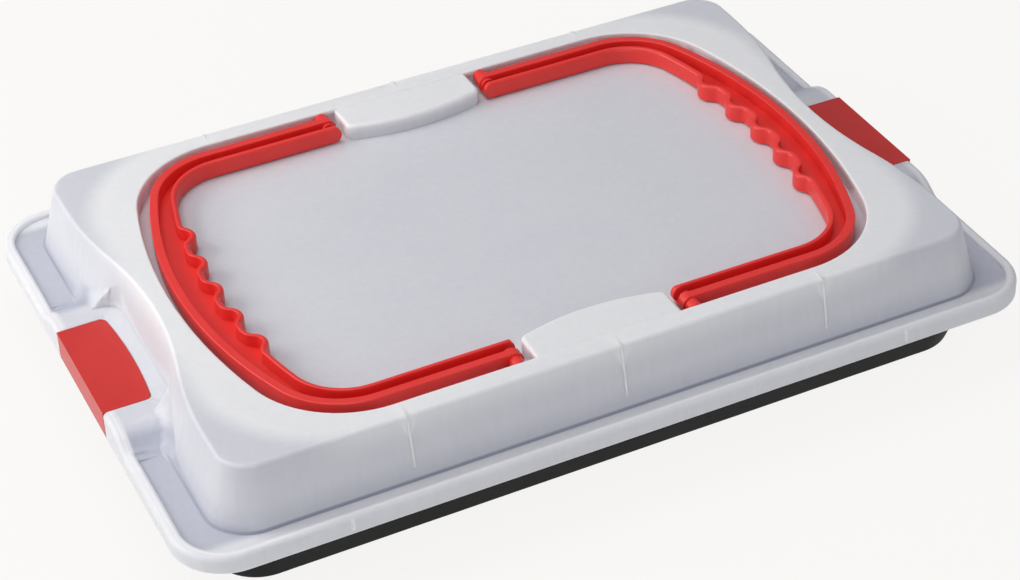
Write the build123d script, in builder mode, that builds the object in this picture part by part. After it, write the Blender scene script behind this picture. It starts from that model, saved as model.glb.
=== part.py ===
from build123d import *
from math import radians, sqrt, tan
import os

os.makedirs("parts", exist_ok=True)

# A rectangular baking pan with a latched carrying lid, in millimetres.
# X runs along the pan, Y across it and Z up from the surface that it stands on.
# The origin is the middle of the pan's underside.

# Pan: thin steel sheet with drafted walls, a narrow flange and a rim rolled outward
pan_length = 425.0
pan_width = 286.0
pan_height = 36.2
pan_sheet = 0.8
pan_rim_thickness = 4.0
pan_rim_corner = 24.0
pan_flange = 4.0
pan_mouth_corner = 40.0
pan_wall_slope = 20.8
pan_floor_corner = 22.0
pan_floor_bend = 3.5

# Lid: one moulding with a wall of even thickness
lid_wall = 1.6
lid_height = 70.5
lid_seat_gap = 0.3
skirt_overhang = 5.0
skirt_length = pan_length + 2 * skirt_overhang
skirt_width = pan_width + 2 * skirt_overhang
skirt_corner = 27.0
skirt_bottom = 31.8
skirt_draft = 0.7
bead_width = 5.6
bead_height = 2.1
bead_inner_round = 1.6
bead_outer_round = 3.0
locating_rib_depth = 3.0
locating_rib_gap = 1.2

# Dome of the lid, from its foot on the channel to its flat top
channel_end_width = 19.0
channel_side_width = 12.7
dome_foot_length = skirt_length - 2 * channel_end_width
dome_foot_width = skirt_width - 2 * channel_side_width
dome_foot_corner = 21.3
dome_end_lean = 8.5
dome_side_lean = 6.3
dome_top_length = dome_foot_length - 2 * dome_end_lean
dome_top_width = dome_foot_width - 2 * dome_side_lean
dome_top_corner = 16.0
dome_edge_round = 2.0
scoop_depth = 11.6
scoop_side_margin = 31.0
scoop_length = dome_top_width - 2 * scoop_side_margin

# Platforms at the short ends, which carry the latches
platform_rise = 8.7
platform_top_length = 84.0
platform_foot_length = 140.0
platform_edge_round = 2.5

# Finger pockets behind the latches, and the bevelled flanks beside them
pocket_depth = 33.5
pocket_width = 88.0
pocket_corner = 10.0
pocket_draft = 3.0
flank_foot_inset = 11.7
flank_end_inset = 4.4

# Ribs on the long sides: ones that run over the dome's edge, small ones on the skirt
dome_rib_spacing = 106.0
dome_rib_width = 1.2
dome_rib_height = 0.6
dome_rib_foot = 45.0
dome_rib_run = 8.0
skirt_rib_spacing = 284.0
skirt_rib_width = 1.4
skirt_rib_height = 0.5
skirt_rib_foot = 33.5

# The recess in the dome's top: its distance from the dome's edge and from the handles in it
dome_end_border = 9.4
dome_side_border = 10.5
recess_side_gap = 6.0
recess_end_gap = 3.5
recess_bow = 300.0
recess_corner = 52.0
recess_edge_round = 0.8

# Handles: flat loops of channel section that lie in the recess
handle_reach = dome_top_length / 2 - scoop_depth - dome_end_border - recess_end_gap
handle_width = dome_top_width - 2 * (dome_side_border + recess_side_gap)
handle_bow = 240.0
handle_corner = 40.0
handle_height = 9.3
handle_proud = 0.7
handle_arm_width = 12.1
handle_web = 2.6
handle_outer_rail = 4.3
handle_inner_rail = 2.8
handle_rail_round = 0.6
grip_top_round = 1.8
grip_bottom_round = 1.2
grip_width = 17.0
grip_inner_bow = 300.0
grip_inner_corner = 28.0
scallop_count = 5
scallop_pitch = 24.0
scallop_depth = 5.0
scallop_radius = 7.5
scallop_blend = 5.0
handle_floor_gap = 0.4

# Handle pivots: pins that point outward into sockets in the recess walls
pivot_spacing = 91.0
pivot_barrel_diameter = 7.2
pivot_pin_diameter = 4.4
pivot_running_gap = 0.08
pivot_barrel_gap = 0.5
pivot_barrel_bulge = 2.0
pivot_tip_chamfer = 0.6
socket_wall = 1.5
socket_depth = 3.0

# Ledge blocks in the middle of the recess's long sides
ledge_length = 75.0
ledge_depth = 24.0
ledge_end_depth = 18.0
ledge_drop = 0.5
ledge_corner = 4.0
ledge_round = 2.0

# Latches: plates that fold down over the skirt and hook under the pan's rim
latch_width = 68.6
latch_plate = 2.4
latch_plate_length = 23.7
latch_bow = 2.2
latch_corner = 3.0
latch_fold_round = 2.0
latch_hook_thickness = 1.4
latch_hook_cover = 1.0
latch_side_gap = 0.4
latch_floor_gap = 0.3
latch_pin_inset = 3.0
latch_pin_diameter = 1.6
latch_pin_drop = 1.4
latch_pin_reach = 1.6
latch_cheek = 2.0
latch_swing_gap = 0.35

# Levels and half sizes that follow from the values above
channel_level = pan_height + lid_seat_gap + lid_wall
bead_level = channel_level + bead_height
platform_level = channel_level + platform_rise
handle_top = lid_height + handle_proud
handle_bottom = handle_top - handle_height
recess_floor = handle_bottom - handle_floor_gap
handle_half_width = handle_width / 2
recess_reach = handle_reach + recess_end_gap
recess_half_width = handle_half_width + recess_side_gap
pivot_x = pivot_spacing / 2
pivot_z = handle_bottom + handle_height / 2
ledge_top = lid_height - ledge_drop
rim_radius = pan_rim_thickness / 2
rim_level = pan_height - rim_radius
skirt_face = skirt_length / 2
pocket_back = skirt_face - pocket_depth
flank_reach = skirt_face - flank_foot_inset
latch_pin_x = skirt_face - latch_plate_length + latch_pin_inset
latch_pin_z = platform_level - latch_pin_drop
bay_half = latch_width / 2 + latch_side_gap
ends = (1, -1)

# How far a cut runs past the surface that it opens, and how close counts as touching
cut_margin = 5.0
near = 0.01


def drafted_block(foot, top, foot_level, top_level, foot_round=0.0):
    """A block between two rounded rectangles, each given as (length, width, corner)."""
    with BuildPart() as block:
        with BuildSketch(Plane.XY.offset(foot_level)):
            RectangleRounded(*foot)
        with BuildSketch(Plane.XY.offset(top_level)):
            RectangleRounded(*top)
        loft(ruled=True)
        if foot_round:
            fillet(block.faces().sort_by(Axis.Z)[0].edges(), foot_round)
    return block.part


def grown(size, by):
    """A rounded rectangle (length, width, corner) grown by one distance on every side."""
    return size[0] + 2 * by, size[1] + 2 * by, size[2] + by


def scooped_face(size, level, by=0.0):
    """A rounded rectangle whose two short sides sweep in to the middle in an S curve."""
    length, width, corner = grown(size, by)
    x, y = length / 2, width / 2
    turn_x, turn_y = x - scoop_depth / 2, scoop_length / 4
    with BuildSketch(Plane.XY.offset(level)) as face:
        with BuildLine():
            Line((x, -(y - corner)), (x, -2 * turn_y))
            TangentArc((x, -2 * turn_y), (turn_x, -turn_y), tangent=(0, 1))
            ThreePointArc((turn_x, -turn_y), (x - scoop_depth, 0), (turn_x, turn_y))
            TangentArc((x, 2 * turn_y), (turn_x, turn_y), tangent=(0, -1))
            Line((x, 2 * turn_y), (x, y - corner))
            RadiusArc((x, y - corner), (x - corner, y), -corner)
            Line((x - corner, y), (0, y))
            mirror(about=Plane.YZ)
            Line((x - corner, -y), (-x + corner, -y))
            RadiusArc((x, -y + corner), (x - corner, -y), corner)
            RadiusArc((-x, -y + corner), (-x + corner, -y), -corner)
        make_face()
    return face.sketch


def scooped_block(foot, top, foot_level, top_level, by=0.0):
    """A drafted block between two scooped faces."""
    with BuildPart() as block:
        add(scooped_face(foot, foot_level, by))
        add(scooped_face(top, top_level, by))
        loft(ruled=True)
    return block.part


def bowed_face(reach, half_width, bow, corner, start=0.0):
    """Straight along both sides, closed at the far end by a wide bow with round corners."""
    shoulder = reach - bow + sqrt(bow**2 - half_width**2)
    with BuildSketch() as face:
        with BuildLine():
            Line((start, -half_width), (shoulder, -half_width))
            ThreePointArc((shoulder, -half_width), (reach, 0), (shoulder, half_width))
            Polyline((shoulder, half_width), (start, half_width), (start, -half_width))
        make_face()
        fillet(face.vertices().sort_by(Axis.X)[-2:], corner)
    return face.sketch


# Pan. The sheet's wall leans out to a flange, which meets the roll just under its top.
rim_overlap = 0.1
flange_level = pan_height - rim_overlap
rim_path_size = grown((pan_length, pan_width, pan_rim_corner), -rim_radius)
mouth = (rim_path_size[0] - 2 * pan_flange, rim_path_size[1] - 2 * pan_flange, pan_mouth_corner)
wall_run = flange_level * tan(radians(pan_wall_slope))
floor = (mouth[0] - 2 * wall_run, mouth[1] - 2 * wall_run, pan_floor_corner)

with BuildPart() as pan:
    outer_floor, outer_mouth = grown(floor, pan_sheet), grown(mouth, pan_sheet)
    add(drafted_block(outer_floor, outer_mouth, 0, flange_level, pan_floor_bend))
    with BuildSketch(Plane.XY.offset(flange_level - pan_sheet)):
        RectangleRounded(*rim_path_size)
    extrude(amount=pan_sheet)
    hollow = drafted_block(floor, mouth, pan_sheet, flange_level, pan_floor_bend - pan_sheet)
    add(hollow, mode=Mode.SUBTRACT)
    rim_x, rim_y = rim_path_size[0] / 2, rim_path_size[1] / 2
    with BuildLine(Plane.XY.offset(rim_level)) as rim_path:
        FilletPolyline(
            (rim_x, -rim_y), (rim_x, rim_y), (-rim_x, rim_y), (-rim_x, -rim_y),
            radius=rim_path_size[2],
            close=True,
        )
    with BuildSketch(Plane(origin=rim_path.line @ 0, z_dir=rim_path.line % 0)):
        Circle(rim_radius)
    sweep(path=rim_path.line)

pan.part.label = "pan"
export_step(pan.part, "parts/pan.step")


# Lid. The outside is built first: skirt, channel, bead, dome and latch platforms.
skirt_foot = (skirt_length, skirt_width, skirt_corner)
skirt_lean = tan(radians(skirt_draft))
skirt_top = grown(skirt_foot, -skirt_lean * (bead_level - skirt_bottom))
skirt_shoulder = grown(skirt_foot, -skirt_lean * (channel_level - skirt_bottom))
platform_outer_x = skirt_top[0] / 2
dome_foot = (dome_foot_length, dome_foot_width, dome_foot_corner)
dome_top = (dome_top_length, dome_top_width, dome_top_corner)


def dome_size(level):
    """The dome's length, width and corner radius at a level."""
    share = (level - channel_level) / (lid_height - channel_level)
    return tuple(foot + share * (top - foot) for foot, top in zip(dome_foot, dome_top))


def ramp_face(plane, by):
    """The platform seen from the end: flat on top, an S-shaped ramp down on each side."""
    top_y, foot_y = platform_top_length / 2, platform_foot_length / 2 - by
    top_z, foot_z = platform_level - by, channel_level - by
    mid = ((top_y + foot_y) / 2, (top_z + foot_z) / 2)
    with BuildSketch(plane) as face:
        with BuildLine():
            Polyline((0, foot_z - lid_wall), (foot_y, foot_z - lid_wall), (foot_y, foot_z))
            TangentArc((foot_y, foot_z), mid, tangent=(-1, 0))
            TangentArc((top_y, top_z), mid, tangent=(1, 0))
            Line((top_y, top_z), (0, top_z))
            mirror(about=Plane.YZ)
        make_face()
    return face.sketch


def recess_block(by, bottom, top):
    """The recess in the lid's top, or the plug that is larger by its wall."""
    with BuildPart() as block:
        with BuildSketch(Plane.XY.offset(bottom)):
            add(bowed_face(recess_reach + by, recess_half_width + by, recess_bow + by, recess_corner + by))
            mirror(about=Plane.YZ)
        extrude(amount=top - bottom)
    return block.part


def ledge_block(by, bottom, top, back_y, edge_round=0.0):
    """The ledge on the far side of the recess, bowed towards the middle."""
    half_length = ledge_length / 2 + by
    end_y = recess_half_width - ledge_end_depth - by
    mid_y = recess_half_width - ledge_depth - by
    with BuildPart() as block:
        with BuildSketch(Plane.XY.offset(bottom)) as face:
            with BuildLine():
                ThreePointArc((-half_length, end_y), (0, mid_y), (half_length, end_y))
                Polyline(
                    (half_length, end_y),
                    (half_length, back_y),
                    (-half_length, back_y),
                    (-half_length, end_y),
                )
            make_face()
            fillet(face.vertices().sort_by(Axis.Y)[:2], ledge_corner + by)
        extrude(amount=top - bottom)
        if edge_round:
            edges = block.faces().sort_by(Axis.Z)[-1].edges()
            fillet(edges.filter_by(lambda edge: edge.center().Y < back_y - near), edge_round)
    return block.part


def pocket_block(by):
    """The finger pockets at both ends, or the plugs that are larger by their wall."""
    with BuildPart() as block:
        with BuildSketch(Plane.XY.offset(platform_level - by)) as face:
            with Locations((pocket_back - by, 0)):
                Rectangle(pocket_depth, pocket_width + 2 * by, align=(Align.MIN, Align.CENTER))
            fillet(face.vertices().group_by(Axis.X)[0], pocket_corner + by)
        extrude(amount=lid_height - platform_level + by, taper=-pocket_draft)
        mirror(about=Plane.YZ)
    return block.part


def flank_blocks(by):
    """The four flanks, each a bevel at 45 degrees that dies out where the scoop ends."""
    root_x = dome_top_length / 2 - scoop_depth
    level = channel_level - by
    stations = (
        (pocket_width / 2 - lid_wall, flank_reach),
        (scoop_length / 2, dome_foot_length / 2 - flank_end_inset),
    )
    with BuildPart() as block:
        for station_y, reach in stations:
            run = reach - (sqrt(2) - 1) * by - root_x
            with BuildSketch(Plane.XZ.offset(-station_y)):
                Polygon((root_x, level), (root_x + run, level), (root_x, level + run), align=None)
        loft(ruled=True)
        mirror(about=Plane.XZ)
        mirror(about=Plane.YZ)
    return block.part


def latch_face(level, by, outer_x):
    """The latch plate seen from above: bowed inner end with round corners."""
    inner_x = skirt_face - latch_plate_length - by
    half_width = latch_width / 2 + by
    with BuildSketch(Plane.XY.offset(level)) as face:
        with BuildLine():
            ThreePointArc((inner_x, -half_width), (inner_x - latch_bow, 0), (inner_x, half_width))
            Polyline(
                (inner_x, half_width),
                (outer_x, half_width),
                (outer_x, -half_width),
                (inner_x, -half_width),
            )
        make_face()
        fillet(face.vertices().sort_by(Axis.X)[:2], latch_corner + by)
    return face.sketch


# Where the latch stands: its hook's tip swings past the pan's rim with a small gap.
rim_reach = pan_length / 2 - rim_radius - latch_pin_x
hook_swing = sqrt(rim_reach**2 + (latch_pin_z - rim_level) ** 2) + rim_radius + latch_swing_gap
hook_tip_x = pan_length / 2 - latch_hook_cover
hook_top = latch_pin_z - sqrt(hook_swing**2 - (hook_tip_x - latch_pin_x) ** 2)
leg_bottom = hook_top - latch_hook_thickness
leg_inner_x = skirt_face - latch_plate
bay_floor = platform_level - latch_plate - latch_floor_gap
bay_front = leg_inner_x - latch_side_gap
tail = latch_pin_inset + latch_bow
trough_radius = sqrt(tail**2 + latch_pin_drop**2) + latch_swing_gap
riser_reach = hook_swing - latch_swing_gap
riser_bottom = latch_pin_z - sqrt(riser_reach**2 - (bay_front - latch_pin_x) ** 2)

# The trough under a latch's hinge, round enough for the plate's tail to turn in
with BuildPart() as trough:
    with BuildSketch(Plane.XZ):
        with Locations((latch_pin_x, latch_pin_z)):
            Circle(trough_radius)
    extrude(amount=bay_half, both=True)
    extrude(
        latch_face(latch_pin_z - trough_radius, latch_side_gap, skirt_face),
        amount=2 * trough_radius,
        mode=Mode.INTERSECT,
    )

# The room that one latch needs in the lid: its bay, the open front, the trough and the pin's holes
with BuildPart() as bay:
    bay_mouth_x = skirt_face + cut_margin
    bay_mouth_height = platform_level - skirt_bottom + 2 * cut_margin
    extrude(latch_face(bay_floor, latch_side_gap, bay_mouth_x), amount=lid_height - bay_floor)
    with BuildSketch(Plane.XZ):
        with Locations((bay_front, skirt_bottom - cut_margin)):
            Rectangle(bay_mouth_x - bay_front, bay_mouth_height, align=Align.MIN)
    extrude(amount=bay_half, both=True)
    add(trough.part)
    with BuildSketch(Plane.XZ):
        with Locations((latch_pin_x, latch_pin_z)):
            Circle(latch_pin_diameter / 2 + pivot_running_gap)
    extrude(amount=bay_half + 2 * latch_cheek, both=True)

# The floor, riser and cheeks round that room
with BuildPart() as bay_walls:
    cheek_back_x = latch_pin_x - trough_radius - lid_wall
    riser_height = platform_level - lid_wall - riser_bottom
    with BuildSketch(Plane.XZ):
        with Locations((latch_pin_x, latch_pin_z)):
            Circle(trough_radius + lid_wall)
        with Locations((cheek_back_x, bay_floor - lid_wall)):
            Rectangle(bay_front - cheek_back_x, platform_level - bay_floor, align=Align.MIN)
        with Locations((bay_front - lid_wall, riser_bottom)):
            Rectangle(lid_wall, riser_height, align=Align.MIN)
    extrude(amount=bay_half + latch_cheek, both=True)
    for side in ends:
        with BuildSketch(Plane.XZ.offset(-side * (bay_half + latch_cheek / 2))):
            with Locations((cheek_back_x, riser_bottom)):
                Rectangle(skirt_face - cheek_back_x, riser_height, align=Align.MIN)
        extrude(amount=latch_cheek / 2, both=True)

# The hollow under the lid, an even wall inside the outer surface
wall_level = channel_level - lid_wall
with BuildPart() as lid_hollow:
    skirt_inside = grown(skirt_foot, -lid_wall), grown(skirt_shoulder, -lid_wall)
    add(drafted_block(*skirt_inside, skirt_bottom, wall_level))
    with BuildSketch(Plane.XY.offset(wall_level)):
        RectangleRounded(*grown(skirt_shoulder, -lid_wall))
        RectangleRounded(*grown(skirt_shoulder, lid_wall - bead_width), mode=Mode.SUBTRACT)
    extrude(amount=bead_height)
    platform_root_x = dome_foot_length / 2 - scoop_depth - 4 * lid_wall
    for end in ends:
        ramp = ramp_face(Plane.YZ.offset(end * platform_root_x), lid_wall)
        extrude(ramp, amount=end * (platform_outer_x - lid_wall - platform_root_x))
    inner_top = lid_height - lid_wall
    add(scooped_block(dome_size(wall_level), dome_size(inner_top), wall_level, inner_top, -lid_wall))
    add(flank_blocks(lid_wall))
    add(pocket_block(lid_wall), mode=Mode.SUBTRACT)
    add(recess_block(lid_wall, recess_floor - lid_wall, lid_height), mode=Mode.SUBTRACT)
    ledge_hollow = ledge_block(
        -lid_wall, recess_floor - lid_wall, ledge_top - lid_wall, recess_half_width + 2 * lid_wall
    )
    add([ledge_hollow, ledge_hollow.rotate(Axis.Z, 180)])
    add([bay_walls.part, bay_walls.part.rotate(Axis.Z, 180)], mode=Mode.SUBTRACT)

# The lid itself, cut hollow once its outside is whole
with BuildPart() as lid:
    # skirt with the raised bead round its top
    add(drafted_block(skirt_foot, skirt_shoulder, skirt_bottom, channel_level))
    with BuildSketch(Plane.XY.offset(channel_level)):
        RectangleRounded(*skirt_shoulder)
        RectangleRounded(*grown(skirt_shoulder, -bead_width), mode=Mode.SUBTRACT)
    extrude(amount=bead_height)
    fillet(lid.faces().sort_by(Axis.Z)[-1].outer_wire().edges(), bead_outer_round)
    fillet(lid.faces().sort_by(Axis.Z)[-1].inner_wires()[0].edges(), bead_inner_round)

    # latch platforms at the two ends
    platform_inner_x = dome_foot_length / 2 - scoop_depth - 2 * lid_wall
    for end in ends:
        ramp = ramp_face(Plane.YZ.offset(end * platform_inner_x), 0)
        extrude(ramp, amount=end * (platform_outer_x - platform_inner_x))
    brow = lid.edges().filter_by(lambda edge: abs(abs(edge.center().X) - platform_outer_x) < near)
    fillet(brow.filter_by(lambda edge: edge.center().Z > channel_level + near), platform_edge_round)

    # dome, with the recess in its top
    add(scooped_block(dome_foot, dome_top, channel_level, lid_height))
    fillet(lid.faces().sort_by(Axis.Z)[-1].outer_wire().edges(), dome_edge_round)
    add(recess_block(0, recess_floor, lid_height), mode=Mode.SUBTRACT)
    fillet(lid.faces().sort_by(Axis.Z)[-1].inner_wires()[0].edges(), recess_edge_round)
    ledge = ledge_block(0, recess_floor - lid_wall, ledge_top, recess_half_width + lid_wall, ledge_round)
    add([ledge, ledge.rotate(Axis.Z, 180)])

    # finger pockets behind the latches, between the flanks
    add(flank_blocks(0))
    add(pocket_block(0), mode=Mode.SUBTRACT)

    # ribs on the dome's long walls and on the skirt
    for side in ends:
        edge_y = dome_top_width / 2 + dome_rib_height
        foot_y = dome_size(dome_rib_foot)[1] / 2 + dome_rib_height
        rib_top = lid_height + dome_rib_height
        for rib_x in (-dome_rib_spacing, 0, dome_rib_spacing):
            with BuildSketch(Plane.YZ.offset(rib_x)) as rib:
                Polygon(
                    (side * edge_y, rib_top),
                    (side * foot_y, dome_rib_foot),
                    (side * (foot_y - lid_wall), dome_rib_foot),
                    (side * (edge_y - dome_rib_run), lid_height - lid_wall / 2),
                    (side * (edge_y - dome_rib_run), lid_height),
                    align=None,
                )
                rib_edge = rib.vertices().sort_by(Axis.Y)[-1]
                fillet(rib_edge, dome_edge_round + dome_rib_height)
            extrude(rib.sketch, amount=dome_rib_width / 2, both=True)
        for rib_x in (-skirt_rib_spacing / 2, skirt_rib_spacing / 2):
            with BuildSketch(Plane.YZ.offset(rib_x)) as rib:
                Polygon(
                    (side * (skirt_width / 2 - lid_wall), skirt_rib_foot),
                    (side * (skirt_width / 2 + skirt_rib_height), skirt_rib_foot),
                    (side * (skirt_width / 2 + skirt_rib_height), channel_level),
                    (side * (skirt_width / 2 - lid_wall), channel_level),
                    align=None,
                )
            extrude(rib.sketch, amount=skirt_rib_width / 2, both=True)

    add(lid_hollow.part, mode=Mode.SUBTRACT)
    add([bay.part, bay.part.rotate(Axis.Z, 180)], mode=Mode.SUBTRACT)

    # locating rib that hangs inside the pan's mouth, left out at the latches and corners
    with BuildSketch(Plane.XY.offset(wall_level)):
        RectangleRounded(*grown(mouth, -locating_rib_gap))
        RectangleRounded(*grown(mouth, -locating_rib_gap - lid_wall), mode=Mode.SUBTRACT)
        RectangleRounded(*grown(dome_foot, -lid_wall), mode=Mode.SUBTRACT)
        Rectangle(skirt_length, platform_foot_length, mode=Mode.SUBTRACT)
    extrude(amount=-locating_rib_depth)

    # sockets for the handle pivots, with a collar on the hidden side
    for side in ends:
        for end in ends:
            wall_face = Plane((end * pivot_x, side * recess_half_width, pivot_z), z_dir=(0, side, 0))
            with BuildSketch(wall_face.offset(lid_wall / 2)) as collar:
                Circle(pivot_pin_diameter / 2 + pivot_running_gap + socket_wall)
            extrude(collar.sketch, amount=lid_wall / 2 + socket_depth)
            with BuildSketch(wall_face.offset(-lid_wall)) as socket:
                Circle(pivot_pin_diameter / 2 + pivot_running_gap)
            extrude(socket.sketch, amount=2 * lid_wall + socket_depth, mode=Mode.SUBTRACT)

lid.part.label = "lid"
export_step(lid.part, "parts/lid.step")


# Handles. Both lie flat; the right one is made and the left is its mirror image.
arm_end_x = pivot_x - handle_height / 2
grip_inner_x = handle_reach - grip_width


def finger_face(by):
    """The room inside a handle, with a bump between every two fingers along the grip."""
    with BuildSketch() as face:
        add(
            bowed_face(
                grip_inner_x + by,
                handle_half_width - handle_arm_width + by,
                grip_inner_bow + by,
                grip_inner_corner + by,
                start=arm_end_x - handle_height,
            )
        )
        for row in range(scallop_count):
            bump_y = (row - (scallop_count - 1) / 2) * scallop_pitch
            sag = grip_inner_bow - sqrt(grip_inner_bow**2 - bump_y**2)
            with Locations((grip_inner_x - sag - scallop_depth + scallop_radius, bump_y)):
                Circle(scallop_radius - by, mode=Mode.SUBTRACT)
        feet = face.vertices().filter_by(lambda v: abs(v.Y) < scallop_pitch * scallop_count / 2)
        fillet(feet.filter_by(lambda v: v.X > arm_end_x + handle_height), scallop_blend + by)
    return face.sketch


def along_window(edges):
    """Those edges that follow the outline of the room inside a handle."""
    outline = finger_face(0).face().outer_wire()

    def on_outline(edge):
        place = edge.position_at(0.5)
        return outline.distance_to(Vertex(place.X, place.Y, 0)) < near

    return edges.filter_by(on_outline)


with BuildPart() as handle_right:
    with BuildSketch(Plane.XY.offset(handle_bottom)):
        add(bowed_face(handle_reach, handle_half_width, handle_bow, handle_corner, start=arm_end_x))
        add(finger_face(0), mode=Mode.SUBTRACT)
    extrude(amount=handle_height)
    # the channel between the two rails, open along the top and at the arms' ends
    with BuildSketch(Plane.XY.offset(handle_bottom + handle_web)):
        add(
            bowed_face(
                handle_reach - handle_outer_rail,
                handle_half_width - handle_outer_rail,
                handle_bow - handle_outer_rail,
                handle_corner - handle_outer_rail,
                start=arm_end_x,
            )
        )
        add(finger_face(handle_inner_rail), mode=Mode.SUBTRACT)
    extrude(amount=handle_height, mode=Mode.SUBTRACT)
    grips = along_window(handle_right.faces().filter_by(Plane.XY).group_by(Axis.Z)[-1].edges())
    rims = handle_right.faces().filter_by(Plane.XY).group_by(Axis.Z)[-1].edges() - grips
    fillet(rims.filter_by(lambda edge: edge.center().X > arm_end_x + near), handle_rail_round)
    # the grip is rounder on the side where the fingers lie
    tops = handle_right.faces().filter_by(Plane.XY).group_by(Axis.Z)[-1]
    fillet(along_window(tops.edges()), grip_top_round)
    base = handle_right.faces().filter_by(Plane.XY).group_by(Axis.Z)[0]
    fillet(along_window(base.edges()), grip_bottom_round)
    # the arms' ends are round about the pivot
    with BuildSketch(Plane.XZ) as side_view:
        with Locations((pivot_x, pivot_z)):
            Circle(handle_height / 2)
            Rectangle(handle_reach, handle_height, align=(Align.MIN, Align.CENTER))
    extrude(side_view.sketch, amount=handle_half_width, both=True, mode=Mode.INTERSECT)
    # barrels and pins
    for side in ends:
        arm_face = Plane((pivot_x, side * handle_half_width, pivot_z), z_dir=(0, side, 0))
        with BuildSketch(arm_face.offset(-handle_outer_rail - pivot_barrel_bulge)) as barrel:
            Circle(pivot_barrel_diameter / 2)
        barrel_length = handle_outer_rail + pivot_barrel_bulge + recess_side_gap - pivot_barrel_gap
        extrude(barrel.sketch, amount=barrel_length)
        with BuildSketch(arm_face) as pin:
            Circle(pivot_pin_diameter / 2)
        extrude(pin.sketch, amount=recess_side_gap + lid_wall + socket_depth)
    tips = handle_right.faces().sort_by(Axis.Y)
    chamfer(ShapeList([tips[0], tips[-1]]).edges(), pivot_tip_chamfer)

with BuildPart() as handle_left:
    mirror(handle_right.part, about=Plane.YZ)

handle_right.part.label = "handle_right"
export_step(handle_right.part, "parts/handle_right.step")
handle_left.part.label = "handle_left"
export_step(handle_left.part, "parts/handle_left.step")


# Latches: plate, folded leg and hook in one, cut to the plate's outline
with BuildPart() as latch_right:
    plate_start = skirt_face - latch_plate_length - latch_bow
    with BuildSketch(Plane.XZ) as section:
        with BuildLine():
            Polyline(
                (plate_start, platform_level),
                (skirt_face, platform_level),
                (skirt_face, leg_bottom),
                (hook_tip_x, leg_bottom),
                (hook_tip_x, hook_top),
                (leg_inner_x, hook_top),
                (leg_inner_x, platform_level - latch_plate),
                (plate_start, platform_level - latch_plate),
                close=True,
            )
        make_face()
        fold = section.vertices().filter_by(lambda v: v.X > skirt_face - near).sort_by(Axis.Z)[-1]
        fillet(fold, latch_fold_round)
    extrude(section.sketch, amount=latch_width / 2, both=True)
    extrude(latch_face(leg_bottom, 0, skirt_face), amount=platform_level - leg_bottom, mode=Mode.INTERSECT)
    with BuildSketch(Plane.XZ) as pins:
        with Locations((latch_pin_x, latch_pin_z)):
            Circle(latch_pin_diameter / 2)
    extrude(pins.sketch, amount=latch_width / 2 + latch_pin_reach, both=True)

with BuildPart() as latch_left:
    mirror(latch_right.part, about=Plane.YZ)

latch_right.part.label = "latch_right"
export_step(latch_right.part, "parts/latch_right.step")
latch_left.part.label = "latch_left"
export_step(latch_left.part, "parts/latch_left.step")
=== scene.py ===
# %% [markdown]
# # A cake pan with a carrying lid
#
# The object is a dark steel baking pan under a frosted plastic lid. Two red handles lie folded in
# a recess of the lid's top, and a red latch holds each short end. Every part was built to real
# size beforehand, so this lesson loads those solids as a fixed frame and gives them their finish,
# the small things that a mould and a press leave behind, a camera and soft light.

from math import cos, pi, radians, sin

import bmesh
import bpy
from mathutils import Matrix, Vector
from mathutils.bvhtree import BVHTree


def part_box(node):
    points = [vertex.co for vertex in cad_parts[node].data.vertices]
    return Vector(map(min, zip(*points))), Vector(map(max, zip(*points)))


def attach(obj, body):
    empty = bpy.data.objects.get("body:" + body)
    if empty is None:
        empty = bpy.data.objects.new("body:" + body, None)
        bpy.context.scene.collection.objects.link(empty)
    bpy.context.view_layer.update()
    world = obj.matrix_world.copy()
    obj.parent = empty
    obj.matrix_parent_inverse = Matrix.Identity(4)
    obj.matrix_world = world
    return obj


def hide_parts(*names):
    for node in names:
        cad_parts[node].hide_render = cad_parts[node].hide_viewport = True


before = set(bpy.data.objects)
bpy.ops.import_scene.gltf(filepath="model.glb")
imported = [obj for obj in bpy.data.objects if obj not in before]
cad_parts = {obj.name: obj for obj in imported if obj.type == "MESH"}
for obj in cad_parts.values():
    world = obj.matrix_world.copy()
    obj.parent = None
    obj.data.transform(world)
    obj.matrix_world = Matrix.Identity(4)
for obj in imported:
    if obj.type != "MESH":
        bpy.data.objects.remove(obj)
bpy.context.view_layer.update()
print("solids:", sorted(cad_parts))

# %% [markdown]
# ## Reading reaches off the frame
#
# How far the lid and the handles reach, and where the latches start, is read from the boxes of
# their solids. The finishes are laid out from those values.

# %% Reaches of the real parts
lid_low, lid_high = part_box("lid")
handle_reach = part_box("handle_right")[1].x
latch_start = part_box("latch_right")[0].x
print("lid stands from", round(lid_low.z, 4), "to", round(lid_high.z, 4))
print("handles reach", round(handle_reach, 4), "and latches start at", round(latch_start, 4))

# %% [markdown]
# ## Sums and products of sockets
#
# A finish is a small tree of nodes, and so is a shape that Geometry Nodes make. Wiring one by hand
# hides the arithmetic, so a link can be used in an ordinary expression here: adding two links adds
# a Math node. Any other node comes from one method that takes its type, its settings and what goes
# into its sockets.

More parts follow.
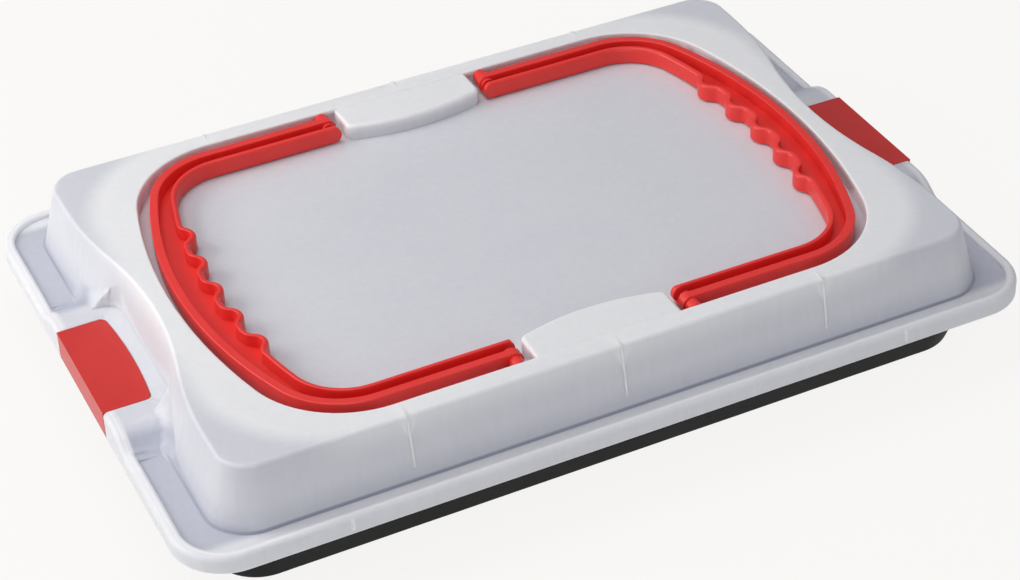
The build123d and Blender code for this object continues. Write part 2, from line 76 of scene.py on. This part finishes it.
# %% A link that can be calculated with
class Link:
    """One output of a node, which can be added, multiplied and so on."""

    def __init__(self, grower, socket):
        self.grower = grower
        self.socket = socket

    def __add__(self, other):
        return self.grower.math("ADD", self, other)

    def __radd__(self, other):
        return self.grower.math("ADD", other, self)

    def __sub__(self, other):
        return self.grower.math("SUBTRACT", self, other)

    def __rsub__(self, other):
        return self.grower.math("SUBTRACT", other, self)

    def __mul__(self, other):
        return self.grower.math("MULTIPLY", self, other)

    def __rmul__(self, other):
        return self.grower.math("MULTIPLY", other, self)

    def __truediv__(self, other):
        return self.grower.math("DIVIDE", self, other)

    def __pow__(self, other):
        return self.grower.math("POWER", self, other)

    def __abs__(self):
        return self.grower.math("ABSOLUTE", self)

    def at_least(self, other):
        return self.grower.math("MAXIMUM", self, other)

    def at_most(self, other):
        return self.grower.math("MINIMUM", self, other)

    def fade(self, start, end):
        """Nought where the value is below start, one where it is above end, smooth between."""
        settings = {"interpolation_type": "SMOOTHSTEP"}
        return self.grower.node("ShaderNodeMapRange", settings, {0: self, 1: start, 2: end})


class Grower:
    """A node tree that is built one node at a time."""

    def __init__(self, tree):
        self.tree = tree

    def node(self, kind, settings=None, sockets=None, out=0):
        made = self.tree.nodes.new(kind)
        for name, value in (settings or {}).items():
            if name == "stops":
                for _ in value[2:]:
                    made.color_ramp.elements.new(1.0)
                for element, (position, colour) in zip(made.color_ramp.elements, value):
                    element.position = position
                    element.color = colour
            else:
                setattr(made, name, value)
        for name, value in (sockets or {}).items():
            if isinstance(value, Link):
                self.tree.links.new(value.socket, made.inputs[name])
            else:
                made.inputs[name].default_value = value
        return Link(self, made.outputs[out])

    def math(self, operation, first, second=0.0):
        return self.node("ShaderNodeMath", {"operation": operation}, {0: first, 1: second})


print("links can be added, multiplied and faded")

# %% [markdown]
# ## What every finish needs
#
# Each finish starts from the coordinates of the point on the piece, so a pattern stays on it when
# it moves. Noise, a blend of two colours and a bump are wanted again and again, and get a method
# each.

# %% A material that grows node by node
class Finish(Grower):
    """A material, its noises and its shader."""

    def __init__(self, name):
        self.material = bpy.data.materials.new(name)
        self.material.use_nodes = True
        super().__init__(self.material.node_tree)
        self.tree.nodes.clear()
        self.place = self.node("ShaderNodeTexCoord", out=3)

    def noise(self, scale, detail=2.0, stretch=(1, 1, 1)):
        """Soft noise with this many swells to the metre, stretched along an axis."""
        place = self.place
        if stretch != (1, 1, 1):
            place = self.node("ShaderNodeMapping", None, {"Vector": self.place, "Scale": stretch})
        sockets = {"Vector": place, "Scale": scale, "Detail": detail}
        return self.node("ShaderNodeTexNoise", None, sockets)

    def mix(self, share, first, second):
        """A colour between two colours."""
        sockets = {0: share, 6: first, 7: second}
        return self.node("ShaderNodeMix", {"data_type": "RGBA"}, sockets, out=2)

    def bump(self, height, strength, distance):
        sockets = {"Height": height, "Strength": strength, "Distance": distance}
        return self.node("ShaderNodeBump", None, sockets)

    def across(self):
        """The three coordinates of a point on the piece, in metres."""
        sockets = {"Vector": self.place}
        return [self.node("ShaderNodeSeparateXYZ", None, sockets, axis) for axis in range(3)]

    def surface(self, shader):
        output = self.tree.nodes.new("ShaderNodeOutputMaterial")
        self.tree.links.new(shader.socket, output.inputs["Surface"])
        return self.material

    def plastic(self, **sockets):
        """The shader for anything solid here, closed off as the surface."""
        named = {name.replace("_", " "): value for name, value in sockets.items()}
        return self.surface(self.node("ShaderNodeBsdfPrincipled", None, named))


print("a finish can be mixed, bumped and closed off")

# %% [markdown]
# ## The frosted lid
#
# The lid is moulded from a milky plastic about 1.6 mm thick. Light that goes into it comes out
# again a few millimetres away, which subsurface scattering shows. Its base colour is painted grey
# for the dark pan seen through it, most where the wall lies near the pan, and for painted shade,
# worked out from the place on the lid: deepest in the channel over the pan's rim, weaker up the
# walls, a little in the recess, and nearly gone at the top. The top beside the recess is painted
# lighter, a thin dark line of painted shade runs round the dome's foot, and painted highlights run
# along the bead and the skirt's foot. Painting it from the place keeps it on the lid from every
# side, which an honest see-through wall can't promise in an exported model.

# %% Painted shade, painted highlights and the see-through pan on the lid
bead_width = 0.0056
skirt_corner = 0.027
skirt_rib_height = 0.0005
channel_width = (0.019, 0.0127)
dome_foot_corner = 0.0213
recess_half = (0.169, 0.1185)
recess_corner = 0.05
skirt_half = (lid_high.x, lid_high.y - skirt_rib_height)
dome_foot_half = [outer - width for outer, width in zip(skirt_half, channel_width)]

# How white each part is painted: nought for the deepest painted shade and see-through pan, one
# where it looks white. The thin painted shade line at the dome's foot goes below nought, so that
# it stays dark where it fades. The bead line and the line at the skirt's foot are painted
# highlights.
end_channel_white = 0.20
side_channel_gain = 0.55
wall_white = 0.48
high_wall_gain = 0.10
border_gain = 0.36
border_loss = 0.44
recess_white = 0.55
bead_white = 0.72
ramp_white = 0.0
foot_line_white = -0.60
highlight_line_white = 0.95

# Heights between which one look fades into the next
wall_foot = (0.0385, 0.0440)
high_wall_foot = (0.0440, 0.0520)
dome_top_foot = (0.0550, 0.0695)
recess_brink = (0.0640, 0.0695)
ramp_brink = (0.0440, 0.0490)
foot_line_brink = (0.0388, 0.0400)
bead_line_foot = (0.0385, 0.0396)
low_line_brink = (0.0321, 0.0327)

# Distances from the lid's middle, or outward from an outline, between which it fades
side_channel_start = (0.132, 0.138)
ramp_start = (0.186, 0.192)
border_end = (0.0070, 0.0210)
recess_outline = (-0.0005, 0.0015)
bead_inner_edge = (-bead_width - 0.0008, -bead_width + 0.0008)

# Bands: where the middle lies, and how far from it the band has faded out
ramp_band = (0.0570, 0.0150)
foot_line_band = (0.0002, 0.0008)
bead_line_band = (-0.0034, 0.0012)


def past_round_box(finish, half, corner):
    """How far a point lies outside a rounded rectangle, in metres, and below nought inside it."""
    x, y, _ = finish.across()
    past_x = (abs(x) - (half[0] - corner)).at_least(0.0)
    past_y = (abs(y) - (half[1] - corner)).at_least(0.0)
    return (past_x**2.0 + past_y**2.0) ** 0.5 - corner


def band(distance, middle, reach):
    """One where the distance is the middle value, nought where it is further off than reach."""
    return 1.0 - abs(distance - middle).fade(0.0, reach)


def cover(under, share, value):
    """The under value, covered by another one where the share is one."""
    return under * (1.0 - share) + value * share


def lid_painted_light_and_shade(finish):
    """One where the lid looks white, nought at its deepest painted shade and see-through pan."""
    x, y, z = finish.across()
    from_recess = past_round_box(finish, recess_half, recess_corner)
    from_skirt = past_round_box(finish, skirt_half, skirt_corner)
    from_foot = past_round_box(finish, dome_foot_half, dome_foot_corner)

    # Painted shade: the channels are painted grey, the end channels darker than the side channels,
    # and the walls too, lighter higher up.
    channel = end_channel_white + side_channel_gain * abs(y).fade(*side_channel_start)
    whiteness_with_painted_light = cover(channel, z.fade(*wall_foot), wall_white)
    whiteness_with_painted_light = whiteness_with_painted_light + high_wall_gain * z.fade(*high_wall_foot)
    # Painted light: the top beside the recess is painted lighter than the rest of the top.
    border = border_gain - border_loss * from_recess.fade(*border_end)
    whiteness_with_painted_light = whiteness_with_painted_light + border * z.fade(*dome_top_foot)

    # Painted shade and the pan seen through: a grey in the recess.
    in_recess = (1.0 - from_recess.fade(*recess_outline)) * (1.0 - z.fade(*recess_brink))
    whiteness_with_painted_light = cover(whiteness_with_painted_light, in_recess, recess_white)
    on_bead = from_skirt.fade(*bead_inner_edge)
    whiteness_with_painted_light = cover(whiteness_with_painted_light, on_bead, bead_white)

    # Painted shade: dark patches on the ramps at both ends, beside the latches.
    ramp_shade = abs(x).fade(*ramp_start) * band(abs(y), *ramp_band) * (1.0 - z.fade(*ramp_brink))
    whiteness_with_painted_light = cover(whiteness_with_painted_light, ramp_shade * (1.0 - on_bead), ramp_white)
    # Painted shade: a thin dark line where the dome's wall meets the channel.
    foot_shade_line = band(from_foot, *foot_line_band) * (1.0 - z.fade(*foot_line_brink))
    whiteness_with_painted_light = cover(whiteness_with_painted_light, foot_shade_line, foot_line_white)

    # Painted highlights: a white line along the bead's crest and one along the skirt's lower edge.
    bead_highlight_line = band(from_skirt, *bead_line_band) * z.fade(*bead_line_foot)
    low_highlight_line = 1.0 - z.fade(*low_line_brink)
    return cover(whiteness_with_painted_light, bead_highlight_line.at_least(low_highlight_line), highlight_line_white)


print("the recess reaches", recess_half, "metres from the middle")

# %% [markdown]
# The frost itself is a fine etch in the mould. It roughens the gloss and gives the surface a
# grain that is almost too fine to see. Long upright streaks come from drawing the mould off the
# walls, and slow clouds from the melt's flow. Both are faint.

# %% Where a painted glow and painted highlights whiten the ribs
rib_spacing = 0.106
rib_foot = 0.0450
rib_foot_fade = 0.0005
glow_half_width = 0.0010
glow_spread = 0.0055
glow_fan = (0.0580, 0.0705)
glow_core = 0.25
dome_wall = (0.119, 0.122)
skirt_rib_spacing = 0.284
tick_side = (0.0007, 0.0011)
tick_depth = (-0.0012, -0.0008)
tick_foot = (0.0335, 0.0340)
tick_brink = (0.0395, 0.0405)


def rib_painted_glow(finish):
    """A rib is thicker plastic; it and the wall beside its broad top get a painted glow, and skirt
    ribs a painted highlight.
    """
    x, y, z = finish.across()
    # Painted glow along each dome rib, spreading over the wall towards the top.
    beside = abs(abs(abs(x) - rib_spacing / 2) - rib_spacing / 2)
    width = glow_half_width + glow_spread * z.fade(*glow_fan)
    glow = (1.0 - (beside / width).fade(glow_core, 1.0)) * abs(y).fade(*dome_wall)
    glow = glow * z.fade(rib_foot - rib_foot_fade, rib_foot + rib_foot_fade)
    # Painted highlight: a thin white tick on each small rib of the skirt.
    skirt_rib_highlight = 1.0 - abs(abs(x) - skirt_rib_spacing / 2).fade(*tick_side)
    skirt_rib_highlight = skirt_rib_highlight * (abs(y) - skirt_half[1]).fade(*tick_depth)
    skirt_rib_highlight = skirt_rib_highlight * z.fade(*tick_foot) * (1.0 - z.fade(*tick_brink))
    return glow.at_least(skirt_rib_highlight)


print("a rib every", rib_spacing, "metres")

# %% Frosted plastic
# The grey stands for painted shade and the dark pan seen through; the frost is the plastic's own
# colour.
painted_shade_grey = (0.43, 0.445, 0.53, 1)
plain_frost = (0.90, 0.90, 0.905, 1)


def frosted_plastic():
    finish = Finish("frosted plastic")
    clouds = finish.noise(16.0, detail=3.0)
    streaks = finish.noise(1.0, stretch=(340.0, 340.0, 9.0))
    etch = finish.noise(1500.0)
    grain = 0.10 * (clouds - 0.5) + 0.12 * (streaks - 0.5)
    # Painted shade, painted highlights and the ribs' painted glow, with the plastic's real grain
    # on top.
    whiteness_with_painted_light = cover(lid_painted_light_and_shade(finish), rib_painted_glow(finish), 1.0) + grain
    return finish.plastic(
        Base_Color=finish.mix(whiteness_with_painted_light, painted_shade_grey, plain_frost),
        Roughness=0.38 + etch * 0.14,
        Normal=finish.bump(etch, 0.12, 0.0002),
        IOR=1.49,
        Subsurface_Weight=0.5,
        Subsurface_Radius=(1.0, 0.95, 0.95),
        Subsurface_Scale=0.003,
    )


frosted = frosted_plastic()
print("made", frosted.name)

# %% [markdown]
# ## The red grips and latches
#
# The red parts are a solid-coloured plastic with a satin face. Their gloss is never quite even,
# because the mould's polish wears, so the roughness wanders a little and a very shallow bump
# gives the reflections the softness of moulded plastic. A trace of scattering lets the red glow
# in its own channels. The latches are given a darker red than the handles, and the place
# tells the two apart, because the latches start further out than the handles reach.

# %% Red plastic
handle_reds = ((0.78, 0.030, 0.025, 1), (0.86, 0.044, 0.036, 1))
latch_reds = ((0.57, 0.024, 0.020, 1), (0.65, 0.034, 0.028, 1))


def red_plastic():
    finish = Finish("red plastic")
    polish = finish.noise(60.0, detail=4.0)
    skin = finish.noise(700.0)
    on_latch = abs(finish.across()[0]).fade(handle_reach, latch_start)
    handle_red = finish.mix(polish, *handle_reds)
    latch_red = finish.mix(polish, *latch_reds)
    return finish.plastic(
        Base_Color=finish.mix(on_latch, handle_red, latch_red),
        Roughness=0.30 + polish * 0.10 + skin * 0.05,
        Normal=finish.bump(skin, 0.08, 0.0002),
        IOR=1.5,
        Subsurface_Weight=0.15,
        Subsurface_Radius=(1.0, 0.2, 0.15),
        Subsurface_Scale=0.0015,
    )


red = red_plastic()
print("made", red.name)

# %% [markdown]
# ## The coated steel
#
# A non-stick coat is a dark paint with tiny bright flakes in it, baked on in a layer that keeps
# an orange-peel surface. Cells of a fine Voronoi pattern give the flakes: only the points next to
# a cell's middle are bright. Wear from stacking dulls the coat in slow patches.

# %% Dark non-stick coating
coat_black = (0.004, 0.004, 0.0038, 1)
flake_grey = (0.035, 0.035, 0.033, 1)


def coated_steel():
    finish = Finish("coated steel")
    peel = finish.noise(420.0)
    wear = finish.noise(25.0, detail=4.0)
    cells = finish.node("ShaderNodeTexVoronoi", None, {"Vector": finish.place, "Scale": 1300.0})
    flakes = finish.node(
        "ShaderNodeValToRGB",
        {"stops": [(0.0, (1, 1, 1, 1)), (0.16, (0, 0, 0, 1))]},
        {"Fac": cells},
    )
    return finish.plastic(
        Base_Color=finish.mix(flakes, coat_black, flake_grey),
        Roughness=0.46 + peel * 0.10 + wear * 0.10,
        Normal=finish.bump(peel, 0.15, 0.0003),
        IOR=1.2,
    )


coated = coated_steel()
print("made", coated.name)

# %% [markdown]
# ## Dressing the solids
#
# The pan keeps its solid as it is, and gets the finish of the real part.

# %% Give the pan its finish
pan_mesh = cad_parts["pan"].data
pan_mesh.materials.clear()
pan_mesh.materials.append(coated)
print("pan has", len(pan_mesh.polygons), "faces in", coated.name)

# %% [markdown]
# The plastic parts are worked on further. A solid's own mesh isn't touched: a copy is welded, so
# that its triangles share their corners, then changed and put in its place. Faces that meet at
# more than some degrees keep a sharp edge in the shading, and the rest are smoothed. Smoothing
# alone would let a flat wall darken towards each rounding, so the larger face decides at corners.

# %% Copies that may be changed
same_corner = 0.000001


def welded(node):
    """The mesh of a solid with its loose triangles joined."""
    shape = bmesh.new()
    shape.from_mesh(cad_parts[node].data)
    bmesh.ops.remove_doubles(shape, verts=shape.verts, dist=same_corner)
    return shape


def apply_modifiers(piece):
    """Make what the modifiers show the piece's own mesh."""
    piece_now = piece.evaluated_get(bpy.context.evaluated_depsgraph_get())
    finished = bpy.data.meshes.new_from_object(piece_now)
    piece.modifiers.clear()
    piece.data = finished


def put_in_place(node, shape, finish, sharp=40, edge_break=0.0):
    """A piece made of the shape, its edges broken by that width, which stands for the solid."""
    mesh = bpy.data.meshes.new(node + "_moulded")
    shape.to_mesh(mesh)
    shape.free()
    piece = bpy.data.objects.new(mesh.name, mesh)
    bpy.context.scene.collection.objects.link(piece)
    if edge_break:
        bevel = piece.modifiers.new("broken edges", "BEVEL")
        bevel.width = edge_break
        bevel.segments = 2
        bevel.limit_method = "ANGLE"
        bevel.angle_limit = radians(35)
        apply_modifiers(piece)
    piece.data.shade_smooth()
    piece.data.set_sharp_from_angle(angle=radians(sharp))
    shading = piece.modifiers.new("even shading", "WEIGHTED_NORMAL")
    shading.keep_sharp = True
    apply_modifiers(piece)
    piece.data.materials.clear()
    piece.data.materials.append(finish)
    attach(piece, node)
    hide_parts(node)
    print(piece.name, "has", len(piece.data.polygons), "faces")


# %% [markdown]
# ## The lid's ribs
#
# The lid's ribs are thin, but on one side the solids' ribs reach three millimetres from their
# middle. Their side faces stand square to the wall, so they can be drawn in without bending
# anything: every corner on the far side slides along the wall to where the thin rib ends.

# %% Draw the ribs in to their width
rib_far_side = 0.0030
rib_half_width = 0.0006
skirt_rib_half_width = 0.0007
dome_wall_start = 0.1180
skirt_wall_start = 0.1455
on_far_side = 0.00003


def draw_in(shape, middles, half_width, beyond):
    """Slide the far side of the ribs that stand at these middles, further out than beyond."""
    moved = 0
    for vertex in shape.verts:
        for middle in middles:
            past_far_side = abs(vertex.co.x - middle + rib_far_side)
            if past_far_side < on_far_side and abs(vertex.co.y) > beyond:
                vertex.co.x = middle - half_width
                moved += 1
    return moved


lid_shape = welded("lid")
rib_middles = [step * rib_spacing for step in (-1, 0, 1)]
skirt_rib_middles = [side * skirt_rib_spacing / 2 for side in (-1, 1)]
moved = draw_in(lid_shape, rib_middles, rib_half_width, dome_wall_start)
moved += draw_in(lid_shape, skirt_rib_middles, skirt_rib_half_width, skirt_wall_start)
print("slid", moved, "corners")
put_in_place("lid", lid_shape, frosted, sharp=26)

# %% [markdown]
# ## The red parts' edges
#
# A mould can't make a knife edge, and the red parts are handled, so their edges are broken. A
# bevel of about a third of a millimetre catches a thin line of light along each edge, which does
# more for the look of plastic than any shader.

# %% Break the edges of the red parts
edge_break = 0.00035
for name in ("handle_left", "handle_right", "latch_left", "latch_right"):
    put_in_place(name, welded(name), red, edge_break=edge_break)

# %% [markdown]
# ## The crests of the ribs
#
# Three ribs run down each long wall of the dome. The solids have them with square edges, but the
# mould rounds them, and the round crest is what draws a white line of light. A crest follows the
# wall and is repeated at even steps, which is work for Geometry Nodes: a line of points down the
# wall becomes a curve, the curve becomes a tube that swells towards the top, the tube is repeated
# along the wall, and a half turn gives the other side. The points are found by shooting rays at
# the lid, so they lie on the wall wherever the solids put it.

# %% Points down the wall and over the edge
lid_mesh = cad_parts["lid"].data
lid_corners = [vertex.co for vertex in lid_mesh.vertices]
lid_faces = [list(face.vertices) for face in lid_mesh.polygons]
lid_surface = BVHTree.FromPolygons(lid_corners, lid_faces)
beside_rib = rib_spacing / 2
edge_round = 0.0020
rib_height = 0.0006
ray_start = 0.05
wall_steps = 9
wall_end = 0.0675
wall_lift = 0.0002
edge_turns = (30, 60, 90)
edge_sink = 0.0001
run_over_top = 0.0040


def seen_from(place, way, sink):
    """The point of the lid that a ray meets, sunk into the lid or lifted off it along the ray."""
    hit, _, _, _ = lid_surface.ray_cast(Vector(place) - way * ray_start, way)
    met = hit + way * sink
    return (0.0, met.y, met.z)


inward = Vector((0, 1, 0))
downward = Vector((0, 0, -1))
beside_the_lid = Vector((beside_rib, -0.3, 0.066))
wall_top = lid_surface.ray_cast(beside_the_lid, inward)[0]
over_the_edge = Vector((beside_rib, wall_top.y + 0.006, 0.2))
dome_top = lid_surface.ray_cast(over_the_edge, downward)[0]

crest_line = []
for step in range(wall_steps + 1):
    level = rib_foot + (wall_end - rib_foot) * step / wall_steps
    crest_line.append(seen_from((beside_rib, wall_top.y, level), inward, -wall_lift))
edge_middle = (beside_rib, wall_top.y + edge_round + rib_height, dome_top.z - edge_round)
for turn in edge_turns:
    way = Vector((0, cos(radians(turn)), -sin(radians(turn))))
    crest_line.append(seen_from(edge_middle, way, edge_sink * turn / edge_turns[0]))
_, last_y, last_z = crest_line[-1]
crest_line.append((0.0, last_y + run_over_top, last_z))
for name, point in (("starts", crest_line[0]), ("ends", crest_line[-1])):
    print("crest", name, "at", [round(value, 4) for value in point])

# %% [markdown]
# The tree's sizes are inputs with names, so that the ribs' number, step and thickness can be
# changed in one place. Both ends are drawn in, to a blunt tip at the foot and a slim one over the
# edge. Instances don't live through an export, so the tree ends by making them real.

# %% A tree that turns a line of points into two rows of crests
crest_inputs = (
    ("Line", "NodeSocketGeometry"),
    ("Ribs", "NodeSocketInt"),
    ("Spacing", "NodeSocketFloat"),
    ("Radius", "NodeSocketFloat"),
    ("Swell", "NodeSocketFloat"),
    ("Finish", "NodeSocketMaterial"),
)


def crest_tree():
    tree = bpy.data.node_groups.new("rib crests", "GeometryNodeTree")
    for name, kind in crest_inputs:
        tree.interface.new_socket(name, in_out="INPUT", socket_type=kind)
    tree.interface.new_socket("Crests", in_out="OUTPUT", socket_type="NodeSocketGeometry")
    grow = Grower(tree)
    line, ribs, spacing, radius, swell, finish = [
        grow.node("NodeGroupInput", out=number) for number in range(len(crest_inputs))
    ]
    curve = grow.node("GeometryNodeMeshToCurve", None, {"Mesh": line})
    along = grow.node("GeometryNodeSplineParameter")
    ends = (along * 40.0 + 0.15).at_most(1.0) * ((1.0 - along) * 7.0 + 0.1).at_most(1.0)
    width = radius * (1.0 + swell * along) * ends**0.5
    ring = grow.node("GeometryNodeCurvePrimitiveCircle", None, {"Resolution": 12, "Radius": 1.0})
    sockets = {"Curve": curve, "Profile Curve": ring, "Scale": width, "Fill Caps": True}
    tube = grow.node("GeometryNodeCurveToMesh", None, sockets)
    start = grow.node("ShaderNodeCombineXYZ", None, {"X": spacing * (ribs - 1.0) * -0.5})
    stride = grow.node("ShaderNodeCombineXYZ", None, {"X": spacing})
    sockets = {"Count": ribs, "Start Location": start, "Offset": stride}
    row = grow.node("GeometryNodeMeshLine", None, sockets)
    near = grow.node("GeometryNodeInstanceOnPoints", None, {"Points": row, "Instance": tube})
    far = grow.node("GeometryNodeTransform", None, {"Geometry": near, "Rotation": (0, 0, pi)})
    both = grow.node("GeometryNodeJoinGeometry", None, {"Geometry": near})
    tree.links.new(far.socket, both.socket.node.inputs["Geometry"])
    real = grow.node("GeometryNodeRealizeInstances", None, {"Geometry": both})
    smooth = grow.node("GeometryNodeSetShadeSmooth", None, {"Geometry": real})
    sockets = {"Geometry": smooth, "Material": finish}
    done = grow.node("GeometryNodeSetMaterial", None, sockets)
    tree.links.new(done.socket, tree.nodes.new("NodeGroupOutput").inputs["Crests"])
    return tree


print("inputs:", ", ".join(name for name, _ in crest_inputs))

# %% Grow the crests and make them plain mesh
def grown(name, points, tree, sizes):
    """A line of points, put through a tree and left as a plain mesh."""
    mesh = bpy.data.meshes.new(name)
    mesh.from_pydata(points, [(n, n + 1) for n in range(len(points) - 1)], [])
    piece = bpy.data.objects.new(name, mesh)
    bpy.context.scene.collection.objects.link(piece)
    growth = piece.modifiers.new(tree.name, "NODES")
    growth.node_group = tree
    for item in tree.interface.items_tree:
        if item.name in sizes:
            growth[item.identifier] = sizes[item.name]
    apply_modifiers(piece)
    piece.data.materials.clear()
    piece.data.materials.append(sizes["Finish"])
    piece.data.polygons.foreach_set("material_index", [0] * len(piece.data.polygons))
    return piece


sizes = {"Ribs": 3, "Spacing": rib_spacing, "Radius": 0.00075, "Swell": 0.1, "Finish": frosted}
rib_crests = grown("rib_crests", crest_line, crest_tree(), sizes)
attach(rib_crests, "lid")
print(rib_crests.name, "has", len(rib_crests.data.polygons), "faces")

# %% [markdown]
# ## The camera
#
# The photograph was taken from the front and a little to the left, looking down at about 36
# degrees through a long lens. The camera's place and its three axes were worked out from the
# straight edges of the lid, so the picture's frame of 1020 by 580 pixels falls as it did there.

# %% Place the camera
picture_width = 1020
focal_pixels = 2519.0
sensor_width = 36.0
camera_place = Vector((-0.4171, -0.9273, 0.7664))
view_right = Vector((0.8993, -0.4360, -0.0334))
view_down = Vector((-0.2831, -0.5222, -0.8045))

camera_data = bpy.data.cameras.new("camera")
camera_data.sensor_width = sensor_width
camera_data.lens = focal_pixels * sensor_width / picture_width
camera_data.clip_start = 0.05
camera_data.clip_end = 20
camera = bpy.data.objects.new("camera", camera_data)
bpy.context.scene.collection.objects.link(camera)
view_up = -view_down.normalized()
view_back = view_right.cross(-view_down)
axes = Matrix((view_right.normalized(), view_up, view_back)).transposed()
camera.matrix_world = Matrix.Translation(camera_place) @ axes.to_4x4()
bpy.context.scene.camera = camera
print("lens", round(camera_data.lens, 1), "mm")

# %% [markdown]
# ## Floor and light
#
# The photograph has a bright, even ground. The floor is a pale sheet that shows itself as white to
# the camera and in reflections, and still takes the object's soft shadow. It lies a hair below the
# pan, so that no two faces share a plane. The light is a plain studio's: a near lamp on the left,
# one overhead, a far one in front, and the room all round. To the camera the room looks as pale as
# the floor, so a low view hardly shows a horizon.

# %% The floor
ground_glow = (0.972, 0.962, 0.944, 1)
ground_paper = (0.80, 0.80, 0.795, 1)
glow_share = 0.92


def pale_ground():
    finish = Finish("pale ground")
    camera_ray, glossy_ray, passing_ray = [
        finish.node("ShaderNodeLightPath", out=number) for number in (0, 3, 6)
    ]
    direct = (camera_ray + glossy_ray + passing_ray).at_most(1.0)
    paper = finish.node("ShaderNodeBsdfDiffuse", None, {"Color": ground_paper})
    glow = finish.node("ShaderNodeEmission", None, {"Color": ground_glow})
    sockets = {0: direct * glow_share, 1: paper, 2: glow}
    return finish.surface(finish.node("ShaderNodeMixShader", None, sockets))


floor_half = 6.0
floor_clearance = 0.0002
floor_mesh = bpy.data.meshes.new("floor")
sheet = bmesh.new()
bmesh.ops.create_grid(sheet, x_segments=4, y_segments=4, size=floor_half)
sheet.to_mesh(floor_mesh)
sheet.free()
floor = bpy.data.objects.new("floor", floor_mesh)
floor.location.z = -floor_clearance
floor_mesh.materials.append(pale_ground())
bpy.context.scene.collection.objects.link(floor)
print("floor is", 2 * floor_half, "metres wide")

# %% The lamps and the room
lamp_aim = Vector((0, 0, 0.04))


def soft_lamp(name, place, size, power, colour):
    data = bpy.data.lights.new(name, "AREA")
    data.shape = "DISK"
    data.size = size
    data.energy = power
    data.color = colour
    lamp = bpy.data.objects.new(name, data)
    bpy.context.scene.collection.objects.link(lamp)
    aim = (lamp_aim - Vector(place)).to_track_quat("-Z", "Y")
    lamp.matrix_world = Matrix.Translation(place) @ aim.to_matrix().to_4x4()
    return lamp


key = soft_lamp("key lamp", (-0.95, 0.40, 0.60), 0.7, 6.5, (1.0, 0.99, 0.97))
top = soft_lamp("top lamp", (-0.3, 0.2, 1.7), 1.2, 10.5, (1.0, 1.0, 1.0))
front = soft_lamp("front lamp", (-0.7, -1.9, 0.55), 1.2, 8.5, (0.97, 0.98, 1.0))

room = bpy.data.worlds.new("room")
bpy.context.scene.world = room
room.use_nodes = True
room.node_tree.nodes.clear()
walls = Grower(room.node_tree)
seen = walls.node("ShaderNodeLightPath", out=0)
dim = walls.node("ShaderNodeBackground", None, {"Color": (0.93, 0.935, 1.0, 1), "Strength": 0.32})
pale = walls.node("ShaderNodeBackground", None, {"Color": ground_glow, "Strength": 1.0})
both = walls.node("ShaderNodeMixShader", None, {0: seen, 1: dim, 2: pale})
shown = room.node_tree.nodes.new("ShaderNodeOutputWorld")
room.node_tree.links.new(both.socket, shown.inputs["Surface"])
bpy.context.scene.view_settings.view_transform = "Standard"
print("lamps:", key.name + ",", top.name, "and", front.name)
